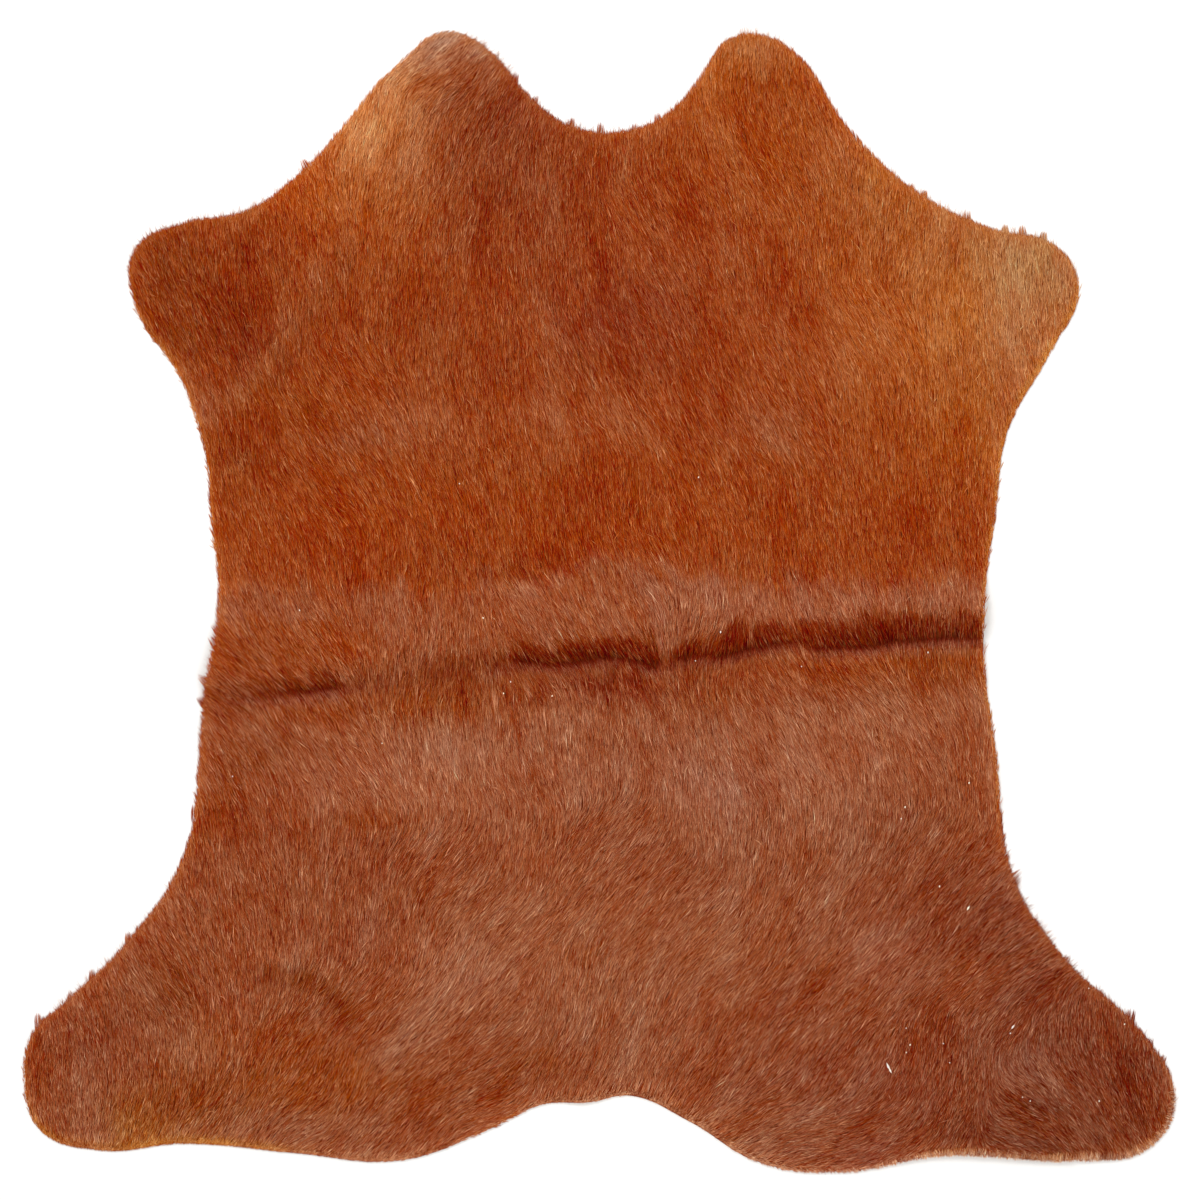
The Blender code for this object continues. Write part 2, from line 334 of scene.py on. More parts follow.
# The crease behind the saddle, where the coat parts. At each x: where the crease runs, how far up its
# painted shade goes, how far up the painted sheen of the fold goes, and how deep the crease is
creaseRows = [
    (-320, -78, -66, 11, 0.1), (-301, -77, -65, 11, 0.2), (-277, -77, -65, 11, 0.35),
    (-263, -77, -63, 11, 0.6), (-247, -77, -60, 11, 0.75), (-233, -75, -60, 10, 0.85),
    (-213, -72, -58, 9, 0.95), (-201, -70, -60, 9, 0.8), (-193, -68, -61, 8, 0.5),
    (-165, -62, -50, 8, 0.15), (-139, -60, -51, 8, 0.05), (-124, -56, -43, 10, 0.2),
    (-118, -55, -40, 11, 0.5), (-110, -56, -46, 12, 0.15), (-92, -56, -46, 14, 0.15),
    (-81, -55, -40, 15, 0.65), (-73, -53, -42, 16, 0.5), (-65, -50, -33, 12, 0.95), (-53, -51, -36, 9, 1.0),
    (-37, -53, -35, 11, 0.9), (-23, -51, -29, 15, 1.0), (-1, -48, -32, 23, 1.0), (18, -47, -25, 26, 1.0),
    (32, -51, -27, 25, 1.0), (42, -55, -29, 21, 1.0), (51, -52, -46, 18, 0.35), (58, -50, -36, 17, 0.7),
    (67, -48, -29, 18, 0.95), (81, -47, -29, 20, 0.7), (92, -48, -24, 18, 0.9), (106, -44, -18, 17, 1.0),
    (120, -40, -20, 17, 0.95), (128, -39, -10, 18, 1.0), (142, -36, -16, 19, 0.9), (158, -37, -17, 19, 0.7),
    (172, -41, -19, 18, 0.9), (192, -39, -12, 17, 1.0), (212, -39, -10, 15, 1.0), (232, -35, -10, 14, 1.0),
    (272, -32, -10, 16, 1.0), (296, -32, -10, 14, 1.0), (320, -32, -10, 14, 1.0),
]


def tableOf(columns, rows, plain):
    # each column of the rows by its name; all but the plain ones are in mm
    scales = [1 if name in plain else mm for name in columns.split()]
    return dict(zip(columns.split(), (np.array(rows) * scales).T))


crease = tableOf("x crease darkTop shineTop depth", creaseRows, ["depth"])


def valueAt(table, column, x):
    return np.interp(x, table["x"], table[column])


def step(value, start, end):
    # from 0 at start to 1 at end, eased
    t = np.clip((value - start) / (end - start), 0, 1)
    return t * t * (3 - 2 * t)


coatColours = {
    "before the saddle": "#97421a",
    # the coat's own tone, greyed by painted sheen where the hair lies towards the light
    "behind the saddle": "#954c2c",
    "painted crease shade": "#6d1e02",  # painted shade down between the hairs in the crease
    "shine, left": "#954f31",  # the flat of the fold, which lies towards the light
    "shine, right": "#9b583c",
    "lip": "#a8654a",  # painted highlight on the hair tips along the lip of the crease
    "rim": "#b65c22",  # light comes through the thin hair along the cut edge
    "cut, ends": "#bd7136",  # the lower half of the hair, which shows where it lies away from the cut edge
    "cut, middle": "#bb7450",
    "fringe tips": "#e4bda2",  # fine ends with the light behind them
    "white hair": "#f6d2b4",
}
coatTones = {name: shares(colour) for name, colour in coatColours.items()}
playTone = np.array([0.5, 0.9, 1.0])  # hair that lies towards the light looks greyer rather than brighter
lockTone = np.array([0.8, 1.0, 1.03])  # from a darker lock to a paler one
hairTone = np.array([1.0, 1.0, 0.85])  # from a darker hair to a paler one

# The play of light on the coat, in soft streaks along the hair: their size, and how much they differ
play = [(8 * mm, 0.011), (18 * mm, 0.015), (40 * mm, 0.012)]

# Soft patches, each over the ones before it: x, y, how far across and along, colour, how strongly
# Besides the coat's own tones, the greyer patches, most of them behind the saddle, are painted sheen where
# the hair lies towards the light.
colourPatches = {
    "left cheek": [
        (-172, 360, 42, 62, "#d08754", 0.95), (-101, 447, 50, 33, "#b8896f", 0.92),
        (-180, 308, 50, 30, "#9f481a", 0.9), (-234, 322, 30, 18, "#ae5726", 0.7),
        (-300, 302, 26, 16, "#883810", 0.7), (-86, 386, 24, 34, "#8c4728", 0.75),
    ],
    "neck": [
        (-60, 392, 22, 22, "#92503a", 0.6), (-68, 338, 60, 66, "#823618", 0.9),
        (30, 322, 80, 46, "#91401b", 0.6),
    ],
    "right cheek": [
        (136, 376, 58, 60, "#9b4618", 0.8), (86, 404, 16, 30, "#b3632f", 0.4),
        (104, 434, 34, 15, "#b06a3c", 0.6), (226, 340, 22, 24, "#c0763f", 0.9),
        (215, 300, 45, 46, "#a05124", 0.7),
    ],
    "right fore shank": [
        (264, 286, 46, 40, "#b0693b", 0.9), (206, 258, 30, 22, "#ab5828", 0.6),
        (240, 226, 26, 26, "#b76633", 0.7), (335, 262, 42, 40, "#ac7044", 0.95),
        (272, 214, 38, 42, "#bc723c", 0.9), (350, 200, 32, 32, "#b87246", 0.75),
    ],
    "right shoulder": [
        (222, 215, 42, 64, "#a65428", 0.75), (274, 138, 48, 42, "#aa5826", 0.85),
    ],
    "left fore shank": [
        (-314, 262, 62, 50, "#85340f", 0.9), (-348, 266, 24, 28, "#78300f", 0.7),
        (-336, 206, 30, 44, "#7f320d", 0.85), (-276, 206, 32, 26, "#772a0a", 0.9),
        (-248, 236, 28, 18, "#853007", 0.5),
    ],
    "left ribs": [
        (-160, 212, 60, 48, "#8d3b14", 0.75), (-176, 132, 62, 16, "#975132", 0.7),
        (-282, 106, 34, 40, "#83330d", 0.75), (-304, 84, 24, 32, "#87360f", 0.9),
        (-232, 160, 32, 18, "#853106", 0.85), (-315, 156, 20, 16, "#985035", 0.7),
        (-240, 70, 28, 20, "#9a4924", 0.4), (-178, 84, 32, 18, "#8b350c", 0.6),
    ],
    "back": [
        (22, 224, 62, 46, "#84361a", 0.75), (-30, 180, 80, 20, "#883a18", 0.6),
        (96, 182, 26, 18, "#99502c", 0.5), (-4, 134, 60, 20, "#9c5230", 0.65),
        (88, 150, 24, 30, "#944624", 0.6), (120, 232, 36, 30, "#8c340d", 0.8),
        (146, 131, 44, 28, "#9a5333", 0.7), (0, 60, 330, 34, "#963e13", 0.7),
        (-70, 98, 110, 18, "#8c390f", 0.3),
    ],
    "before the fold": [
        (-82, 28, 46, 14, "#82300a", 0.6), (212, 104, 50, 44, "#984014", 0.6),
        (-232, 20, 44, 14, "#9c4d29", 0.6), (-270, -34, 48, 20, "#8c401d", 0.75),
    ],
    "behind the crease": [
        (-290, -78, 24, 12, "#7e3314", 0.8), (-219, -88, 30, 8, "#85310a", 0.9),
        (-240, -105, 32, 12, "#823210", 0.85), (-131, -84, 50, 13, "#873208", 0.9),
        (-186, -102, 30, 10, "#a55d3b", 0.8), (-92, -116, 34, 18, "#aa6a4b", 0.85),
        (15, -62, 60, 10, "#782c11", 0.85), (-76, -66, 34, 10, "#7f300b", 0.7),
        (84, -70, 24, 10, "#8f3c14", 0.6), (262, -52, 62, 15, "#8a380f", 0.9),
    ],
    "loin": [
        (-15, -97, 44, 12, "#a15c3c", 0.7), (196, -88, 80, 13, "#a15c3c", 0.75),
        (276, -72, 34, 12, "#a05a3a", 0.7), (196, -120, 40, 20, "#a15c3d", 0.6),
        (0, -140, 190, 44, "#9b573a", 0.6), (-215, -148, 62, 36, "#9d5435", 0.75),
        (-134, -152, 44, 20, "#a55f3f", 0.75), (-170, -176, 50, 10, "#8f4526", 0.5),
        (-105, -192, 40, 16, "#9c5334", 0.6),
    ],
    "left flank": [
        (-300, -178, 22, 18, "#893a14", 0.7), (-268, -124, 30, 16, "#88401f", 0.6),
        (-272, -196, 34, 30, "#883c1e", 0.5), (-176, -172, 28, 9, "#8f3e17", 0.7),
    ],
    "left thigh": [
        (-250, -230, 60, 40, "#924a2a", 0.5), (-172, -206, 26, 16, "#88391b", 0.55),
        (-250, -352, 58, 26, "#923e17", 0.75), (-241, -270, 28, 14, "#8b3c1c", 0.7),
        (-184, -262, 24, 18, "#8a4228", 0.6), (-334, -230, 26, 18, "#8f4424", 0.6),
        (-143, -280, 34, 24, "#a45e3f", 0.8), (-216, -380, 90, 16, "#923c10", 0.75),
        (-160, -348, 34, 24, "#a25d3d", 0.6),
    ],
    "left hind shank": [
        (-400, -350, 44, 44, "#90492d", 0.6), (-442, -400, 22, 32, "#8c401f", 0.85),
        (-350, -414, 26, 20, "#a9652f", 0.75), (-372, -272, 24, 18, "#86391a", 0.9),
        (-296, -312, 22, 17, "#ab6647", 0.9), (-396, -336, 34, 11, "#83371a", 0.5),
        (-334, -307, 34, 22, "#7c3717", 0.6), (-298, -348, 24, 18, "#a15a37", 0.6),
        (-322, -396, 34, 24, "#88360d", 0.75),
    ],
    "rump": [
        (70, -184, 60, 24, "#9f5a3c", 0.3), (62, -212, 64, 26, "#8e4225", 0.65),
        (18, -190, 30, 14, "#86391a", 0.5), (98, -238, 28, 14, "#87391b", 0.5),
        (100, -147, 32, 20, "#934c31", 0.65), (20, -260, 150, 60, "#9a4e2b", 0.6),
        (-86, -288, 42, 22, "#a35d3e", 0.55), (-31, -234, 36, 18, "#a35d3d", 0.4),
        (90, -205, 30, 20, "#8a4020", 0.3), (166, -213, 22, 18, "#9f5838", 0.6),
        (206, -184, 22, 16, "#843a1b", 0.7), (181, -168, 26, 22, "#a66344", 0.7),
        (152, -308, 26, 14, "#86391b", 0.6),
    ],
    "right thigh": [
        (308, -152, 18, 26, "#a15c3c", 0.7), (271, -146, 20, 12, "#87391a", 0.3),
        (255, -228, 60, 50, "#8a4124", 0.75), (318, -240, 36, 26, "#823c22", 0.7),
        (228, -280, 26, 22, "#a66145", 0.7),
    ],
    # painted shade: darker where the hair turns from the light, darkest in the trough along the hind edge,
    # where it curls up
    "right leg": [
        (340, -288, 72, 44, "#7f3b22", 0.8), (288, -298, 24, 20, "#9c5637", 0.85),
        (385, -312, 30, 24, "#78371f", 0.3), (360, -362, 74, 44, "#824027", 0.85),
        (350, -398, 34, 9, "#74321b", 0.7), (428, -374, 30, 34, "#74321b", 0.75),
        (447, -396, 14, 26, "#9c5738", 0.8), (345, -414, 94, 20, "#702e15", 0.9),
    ],
    "buttocks": [
        (200, -374, 90, 40, "#8b452c", 0.6), (-72, -404, 50, 20, "#9c502e", 0.6),
        (-114, -418, 26, 12, "#8f4120", 0.6), (-120, -377, 24, 12, "#8c3f1e", 0.5),
        (66, -348, 40, 42, "#9c5637", 0.7), (70, -404, 30, 16, "#a55b38", 0.7),
        (250, -384, 30, 16, "#8e4a31", 0.6), (206, -440, 36, 14, "#9a5e4a", 0.6),
    ],
}

# Soft strokes: where, how wide, colour, how strongly, and the points it runs through
colourStrokes = {
    # painted sheen on a low ripple behind the left shoulder
    "behind the left shoulder": (10, "#98502d", 0.55,
     [(-318, 172), (-289, 167), (-264, 178), (-252, 196), (-239, 215), (-223, 237), (-207, 262),
      (-190, 284)]),
    # painted sheen along the crest of the fold
    "crest of the fold": (6, "#a8684c", 0.6,
     [(-65, 10), (-29, 16), (-9, 24), (9, 30), (32, 30), (47, 24), (63, 14)]),
    # painted shade in a ripple on the left thigh
    "left thigh, ripple": (7, "#80320e", 0.8,
     [(-262, -284), (-238, -287), (-210, -310), (-196, -328)]),
    # painted highlight on the crest of that ripple
    "left thigh, ripple's crest": (6, "#a45e3c", 0.35,
     [(-262, -270), (-236, -276), (-208, -296), (-188, -316)]),
    # painted shade in a dent left of the tail
    "left of the tail, dent": (7, "#863814", 0.6,
     [(-74, -364), (-60, -358), (-48, -352), (-38, -366)]),
}

foldShine = {
    "strength": 0.75,
    "changes": (0 * mm, 90 * mm),  # from its left colour to its right one
    "footEnds": (-210 * mm, -110 * mm),  # left of here it stops short of the crease
    "foot": (-16 * mm, -70 * mm),  # how far down it goes there
}


def nearness(x, y, points):
    # distance to a line through the points
    best = np.full(np.shape(x), np.inf)
    for (ax, ay), (bx, by) in zip(points, points[1:]):
        alongX, alongY = bx - ax, by - ay
        t = ((x - ax) * alongX + (y - ay) * alongY) / (alongX ** 2 + alongY ** 2)
        t = np.clip(t, 0, 1)
        best = np.minimum(best, np.hypot(x - ax - t * alongX, y - ay - t * alongY))
    return best


def mixed(under, over, weight):
    weight = np.asarray(weight)[..., None]
    return under * (1 - weight) + over * weight


def brushedNoise(size, seed):
    # noise on the grid, drawn out along the hair, with a mean of 0 and a spread of 1
    total = 0
    for along in (-1.2, -0.6, 0, 0.6, 1.2):
        way = along * size * lie
        total = total + smoothNoise(overX + way[..., 0], overY + way[..., 1], size, seed)
    return (total - total.mean()) / total.std()


def colourField():
    # as sRGB numbers, because that is how the eye mixes the colours of neighbouring hairs
    # behind the saddle the coat turns to its greyer tone, which is partly painted sheen
    behind = step(overY, -0.03, -0.075)
    field = mixed(coatTones["before the saddle"], coatTones["behind the saddle"], behind)
    # nothing on a real hide has a clean border, so every place is looked up a little way off
    x = (overX + smoothNoise(overX, overY, 0.022, 1) * 0.008) / mm
    y = (overY + smoothNoise(overX, overY, 0.026, 2) * 0.008) / mm
    uneven = np.clip(1 + 0.22 * brushedNoise(9 * mm, 61), 0.3, 1.6)
    marks = []
    for placeX, placeY, across, along, colour, strength in sum(colourPatches.values(), []):
        marks.append((np.hypot((x - placeX) / across, (y - placeY) / along), colour, strength))
    for width, colour, strength, points in colourStrokes.values():
        marks.append((nearness(x, y, points) / width, colour, strength))
    for far, colour, strength in marks:
        weight = np.clip(uneven * strength * np.exp(-0.7 * far ** 2), 0, 1)
        field = mixed(field, shares(colour), weight)
    for seed, (size, spread) in enumerate(play):
        field = field + spread * brushedNoise(size, 40 + seed)[..., None] * playTone
    return field


zoneColour = colourField()
shineVaries = brushedNoise(13 * mm, 60)


def coatColour(x, y, shift=0):
    # the colour of the coat at a place, with the painted shade of the crease and the painted sheen of the
    # fold before it;
    # shift moves their borders for each hair, so that they run ragged along the hair
    colour = read(zoneColour, x, y)
    columns = ("crease", "darkTop", "shineTop", "depth")
    run, top, shineTop, depth = (valueAt(crease, column, x) for column in columns)
    top = top + shift
    varies = read(shineVaries, x, y)
    shineTop = shineTop + 1.5 * shift + 3 * mm * varies
    foot = np.interp(x, foldShine["footEnds"], foldShine["foot"]) + shift
    shine = step(y, top - 2 * mm, top + 5 * mm) * step(y, shineTop + 5 * mm, shineTop - 5 * mm)
    shine = shine * step(y, foot - 9 * mm, foot + 9 * mm)
    lit = mixed(coatTones["shine, left"], coatTones["shine, right"], step(x, *foldShine["changes"]))
    colour = mixed(colour, lit, np.clip(foldShine["strength"] + 0.1 * varies, 0, 1) * shine)
    # painted shade in the crease, from its line up to the top of the shade, lighter away from the line
    dark = step(y, run - 1.0 * mm, run + 1.5 * mm) * step(y, top + 6 * mm, top - 3 * mm)
    dark = dark * (1 - 0.35 * step(y, run + 4 * mm, top))
    colour = mixed(colour, coatTones["painted crease shade"], depth * dark)
    # painted highlight along the lip of the crease
    lip = np.exp(-((y - run + 3 * mm) / (2 * mm)) ** 2) * (0.4 + 0.4 * step(abs(x), 0.1, 0.22))
    colour = mixed(colour, coatTones["lip"], depth * lip)
    colour = mixed(colour, coatTones["rim"], 0.4 * np.exp(-(read(inward, x, y) / (1.4 * mm)) ** 2))
    return mixed(colour, cutColour(x), 0.85 * bareCut(x, y))


def cutColour(x):
    middle = step(x, -0.3, -0.2) * step(x, 0.3, 0.2)
    return mixed(coatTones["cut, ends"], coatTones["cut, middle"], middle)


def bareCut(x, y):
    # 1 at the cut edge where the hair lies away from it, so that its lower half shows, and 0 further in
    edge = np.exp(-(np.clip(read(inward, x, y), 0, None) / (5 * mm)) ** 2)
    return edge * np.clip(0.15 + 0.95 * read(fromCut, x, y), 0, 1) * (1 - 0.7 * step(x, 0.12, 0.25))


coat = {
    "strands": 450000,
    "regions": ["neck", "shoulders", "saddle", "loin", "rump"],  # one piece each, all with as many strands
    "length": 15.5 * mm,
    "lengthVaries": {"lock": 0.12, "hair": 0.25},
    "shankShare": 0.72,  # how long the hair is on the shanks and cheeks, as a share of the body's
    "width": 0.56 * mm,  # two or three hairs together; a single one would be too fine to show
    "sideShade": 0.215,  # how much paler their lit side is than their middle, and how much darker the other
    "widthVaries": 0.28,
    "lockSize": 4 * mm,  # from one lock to the next
    "gather": 0.08,  # how far the tips of a lock lean together
    "lockTurn": math.radians(5),
    "hairTurn": math.radians(6.5),
    "bend": math.radians(9),
    "roll": math.radians(24),
    "edgeGap": 0.3 * mm,  # from the cut edge to the first roots
    "overhang": 1.8 * mm,  # how far the hair may reach past the cut edge
    "shadeVaries": {"hair": 0.062, "lock": 0.006, "tuft": 0.012},
    "wispSize": 3.8 * mm,  # thin locks that lie a little higher or lower than the rest
    "wispPaler": 0.08,  # steps of sRGB, from 0 to 1
    "tuftPaler": 0.11,
    "rootShade": -0.13,
    "tipShade": 0.04,
    "ragged": {"hair": 1.5 * mm, "lock": 3.0 * mm, "tuft": 4.0 * mm},  # how the borders at the crease differ
    "gain": np.array([1.15, 1.35, 1.40]),  # brings the colours back up after what the hairs shade
    "veil": np.array([0.036, 0.0555, 0.0395]),  # what the paler hairs and the gloss add to them
}

# Tufts that lie proud of the coat and catch the light: x, y and how much paler
paleTufts = [
    (-228, -62, 1.0), (-204, 21, 0.7), (-156, 15, 0.9), (-238, -22, 0.7), (-189, 7, 0.5), (-98, -83, 0.9),
    (-82, -78, 0.8), (-55, -72, 0.9), (-31, -74, 0.6), (-219, -104, 0.6), (-198, -86, 0.7),
    (-116, -90, 0.5), (-41, 21, 0.6), (-13, -14, 0.6), (-37, -36, 1.0), (-87, -28, 0.5), (42, 5, 0.7),
    (49, -33, 1.0), (84, 3, 0.5), (118, -23, 1.0), (99, 37, 0.6), (149, -17, 0.8), (160, -39, 0.8),
    (23, -73, 0.9), (40, -91, 0.6), (195, -73, 0.8), (156, -73, 0.7), (150, -45, 0.7), (79, -71, 0.5),
    (207, -87, 0.6), (225, 23, 0.5), (-71, 71, 0.7), (-39, 19, 0.7), (-60, 10, 0.6), (-146, 92, 0.6),
    (28, -20, 0.5), (-290, -385, 0.8), (-282, -325, 0.7), (-249, -394, 0.8), (-244, -403, 0.7),
    (240, -254, 1.0), (276, -261, 1.0), (338, -335, 0.9), (226, -264, 0.6),
]


def turned(apart, angle):
    # how far along the hair and how far aside
    sine, cosine = np.sin(angle), np.cos(angle)
    return apart[0] * sine + apart[1] * cosine, apart[0] * cosine - apart[1] * sine


def lockOf(place, angle, size, seed, slim=0.6):
    # which lock each hair belongs to, as a number and a middle: the nearest, and locks are longer than wide
    across = int(1.2 / size)
    offset = np.random.default_rng(seed).uniform(-0.45, 0.45, (2, across, across))
    cell = (place / size + across / 2).astype(int)
    best = np.full(len(angle), np.inf)
    number = np.zeros(len(angle), int)
    middle = np.zeros(place.shape)
    for downwards in (-1, 0, 1):
        for sideways in (-1, 0, 1):
            column, row = cell[0] + sideways, cell[1] + downwards
            centre = (np.array([column, row]) + 0.5 + offset[:, row, column] - across / 2) * size
            along, aside = turned(centre - place, angle)
            distance = (slim * along) ** 2 + aside ** 2
            closer = distance < best
            best = np.where(closer, distance, best)
            number = np.where(closer, row * across + column, number)
            middle = np.where(closer, centre, middle)
    return number, middle


def perLock(number, seed, low=-1.0, high=1.0):
    return np.random.default_rng(seed).uniform(low, high, number.max() + 1)[number]


def paleness(place, angle):
    # how much each hair belongs to one of the pale tufts
    total = np.zeros(len(angle))
    for x, y, paler in paleTufts:
        along, aside = turned(place - np.array([[x], [y]]) * mm, angle)
        total += paler * np.exp(-(aside / (1.5 * mm)) ** 2 - (along / (6 * mm)) ** 2)
    return total


def walk(place, direction, distance):
    return place + np.array([np.sin(direction), np.cos(direction)]) * distance


def roots():
    # one root in each cell of an even grid, somewhere in it
    area = 0.5 * abs(np.dot(rim[:, 0], np.roll(rim[:, 1], -1)) - np.dot(rim[:, 1], np.roll(rim[:, 0], -1)))
    pitch = math.sqrt(area / coat["strands"])
    grid = np.meshgrid(np.arange(gridX[0], gridX[-1], pitch), np.arange(gridY[0], gridY[-1], pitch))
    place = np.stack([(part + chance.uniform(-0.5, 0.5, part.shape) * pitch).ravel() for part in grid])
    return place[:, read(inward, *place) > coat["edgeGap"]]


def grown(places, lift, width, low, high, tones):
    # one lot of hairs: root, middle and tip, how high they lie, their width and roll, and three tones
    return {
        "place": places,
        "lift": lift,
        "width": width * chance.uniform(low, high, len(lift)),
        "roll": coat["roll"] * chance.uniform(-1, 1, len(lift)),
        "tones": tones,
    }


def coatHairs():
    # every hair of the coat, along the lie of the hair and in locks
    root = roots()
    x, y = root
    count = len(x)
    angle = heading(x, y)
    number, middle = lockOf(root, angle, coat["lockSize"], 21)
    tuft = lockOf(root, angle, 4 * coat["lockSize"], 22)[0]
    outer = step(np.hypot(x, y), 0.3, 0.56)
    length = coat["length"] * (1 - outer * (1 - coat["shankShare"]))
    uneven = coat["lengthVaries"]
    singly = chance.uniform(-uneven["hair"], uneven["hair"], count)
    length = length * (1 + uneven["lock"] * perLock(number, 23) + singly)
    turn = coat["lockTurn"] * (perLock(number, 24) + 0.6 * perLock(tuft, 25))
    turn = turn + coat["hairTurn"] * chance.normal(0, 1, count)
    bend = coat["bend"] * chance.uniform(-1, 1, count)

    half = walk(root, angle + turn, 0.5 * length)
    tip = walk(half, heading(*half) + turn + bend, 0.5 * length)
    lockHalf = walk(middle, angle, 0.55 * length)
    lockTip = walk(lockHalf, heading(*lockHalf), 0.5 * length)
    gather = coat["gather"] * (1 + 0.5 * perLock(number, 26))
    half = half + 0.4 * gather * (lockHalf - half)
    tip = tip + gather * (lockTip - tip)

    # hair that would hang too far over the cut edge is shorter
    reach = coat["overhang"] * chance.uniform(0.1, 1.2, count) * (1 + 0.35 * perLock(number, 27))
    over = -read(inward, *tip) - reach
    share = np.clip(1 - np.maximum(over, 0) / length, 0.25, 1)
    # hair behind the crease ends in its shade
    run = valueAt(crease, "crease", tip[0]) + chance.uniform(2, 6, count) * mm
    past = (tip[1] - run) - (1 - valueAt(crease, "depth", tip[0])) * length
    behind = (y < valueAt(crease, "crease", x)) & (past > 0)
    shaded = np.clip(1 - past / np.maximum(tip[1] - y, mm), 0.2, 1)
    share = np.where(behind, np.minimum(share, shaded), share)
    half, tip = root + (half - root) * share, root + (tip - root) * share

    # wisps: thin locks that stand a little higher and closer together, most of them behind the saddle
    wisp, wispMiddle = lockOf(root, angle, coat["wispSize"], 33, 0.3)
    aside = turned(wispMiddle - root, angle)[1]
    proud = perLock(wisp, 34)
    wispy = np.exp(-(aside / (1.3 * mm)) ** 2) * (step(proud, 0.6, 1) - 0.7 * step(-proud, 0.7, 1))
    wispy = wispy * (0.5 + 0.5 * step(y, 0.03, -0.03))
    tip = walk(tip, angle + math.pi / 2, 0.6 * wispy * aside)
    pale = paleness(half, angle) + coat["wispPaler"] / coat["tuftPaler"] * wispy
    lift = (0.9 + 0.06 * perLock(number, 28)) * chance.uniform(0.6, 1.05, count) * np.sqrt(share)
    lift = np.minimum(lift * (1 + 0.25 * pale), 1.05)
    varies, ragged = coat["shadeVaries"], coat["ragged"]
    shade = varies["lock"] * perLock(number, 29) + varies["tuft"] * perLock(tuft, 30)
    shade = shade + coat["tuftPaler"] * pale
    single, onward, ending = chance.normal(0, varies["hair"], (3, count))
    singles = [single, 0.8 * single + 0.6 * onward, 0.8 * single + 0.6 * ending]
    shift = ragged["hair"] * chance.uniform(-1, 1, count)
    shift = shift + ragged["lock"] * perLock(number, 31) + ragged["tuft"] * perLock(tuft, 32)
    warm = chance.normal(0, 0.005, count)[:, None] * np.array([0.5, 1.0, 0.4])
    rootShade = coat["rootShade"] * (1 - np.exp(-(read(inward, x, y) / (4 * mm)) ** 2))
    places = [root, half, tip]
    tones = []
    for place, along, single in zip(places, (rootShade, 0, coat["tipShade"]), singles):
        tone = coatColour(*place, shift) + (shade + along)[:, None] * lockTone
        tones.append(tone + single[:, None] * hairTone + warm)
    return grown(places, lift, coat["width"], 1 - coat["widthVaries"], 1 + coat["widthVaries"], tones)


# The cut edge behind, where the coat lies away from it. At each x: how much of the pale lower half of the
# hair shows, how far it turns out over the edge, and how long what shows is
fringeRows = [
    (-450, 0.4, 0.0, 5), (-436, 0.6, 0.0, 5), (-415, 1.0, 0.0, 6), (-330, 1.0, 0.0, 6), (-200, 0.9, 0.0, 6),
    (-120, 0.7, 0.1, 5), (-30, 0.6, 0.2, 4), (60, 0.6, 0.3, 4), (150, 0.6, 0.5, 5), (230, 0.8, 0.9, 6),
    (300, 1.0, 1.0, 8), (430, 1.0, 1.0, 8), (450, 0.6, 1.0, 5),
]
fringe = {
    "behind": -280 * mm,  # y, behind which the rows above hold
    "strands": 54000,  # not all of them show
    "shortOnes": 0.55,  # the share of half as long ones, which cover the cut itself
    "width": 0.5 * mm,
    "hairShade": 0.06,
    "turn": {"hair": math.radians(12), "lock": math.radians(14)},
    "lockSize": 2.5 * mm,
    "pinch": 0.05,  # how much darker it is between its own small locks: painted shade
    "overhang": 1 * mm,
}

# Locks that stick out of the outline: where the tip is, its heading, and how long the part is that shows
outlineTufts = [
    (-65, 415, 20, 5), (-50, 396, 20, 5), (-41, 386, 25, 5), (-22, 379, 8, 5), (1, 375, 0, 5),
    (28, 374, 0, 4), (45, 382, -8, 5), (60, 384, -5, 4), (79, 384, -10, 4), (218, 347, 8, 3),
    (245, 327, 20, 4), (255, 322, 15, 3), (288, 306, 5, 4), (318, 295, 0, 3), (331, 294, 0, 3),
    (348, 289, 10, 3), (-232, 346, -25, 4), (-207, 368, -20, 4), (-366, 268, -40, 2), (-302, -18, -42, 5),
    (-304, -28, -35, 3), (-313, -58, -50, 5), (-314, -75, -45, 5), (-440, -323, -5, 4), (-434, -325, 0, 5),
    (-415, -306, 0, 4), (-397, -288, 0, 6), (-369, -259, -5, 4), (-361, -254, 0, 4), (-352, -250, 5, 4),
    (-335, -219, -20, 4), (-317, -159, 0, 5), (330, -210, 50, 10), (330, -215, 50, 9), (329, -219, 45, 8),
    (333, -236, 50, 6), (344, -251, 40, 6), (347, -258, 40, 4), (367, -278, 35, 4), (394, -305, 40, 4),
    (415, -319, 10, 7), (418, -320, 14, 6), (432, -342, 20, 4), (442, -356, 30, 3), (315, -197, 40, 4),
]
outlineTuft = {"strands": 26, "spread": 2.8 * mm, "buried": 8 * mm, "width": 0.38 * mm, "further": 2.4 * mm}

# single hairs that reach out over the cut edge where the coat lies towards it
outlineHair = {
    "strands": 8400,
    "buried": 6 * mm,
    "reach": 3 * mm,
    "longest": 8 * mm,
    "width": 0.32 * mm,
    "turn": math.radians(14),
}

# single pale hairs that lie across the coat; their paleness is partly painted highlight
strayHair = {
    "strands": 2400,
    "length": 12 * mm,
    "width": 0.38 * mm,
    "turn": math.radians(20),
    "bend": math.radians(25),
    "paler": 0.15,
}

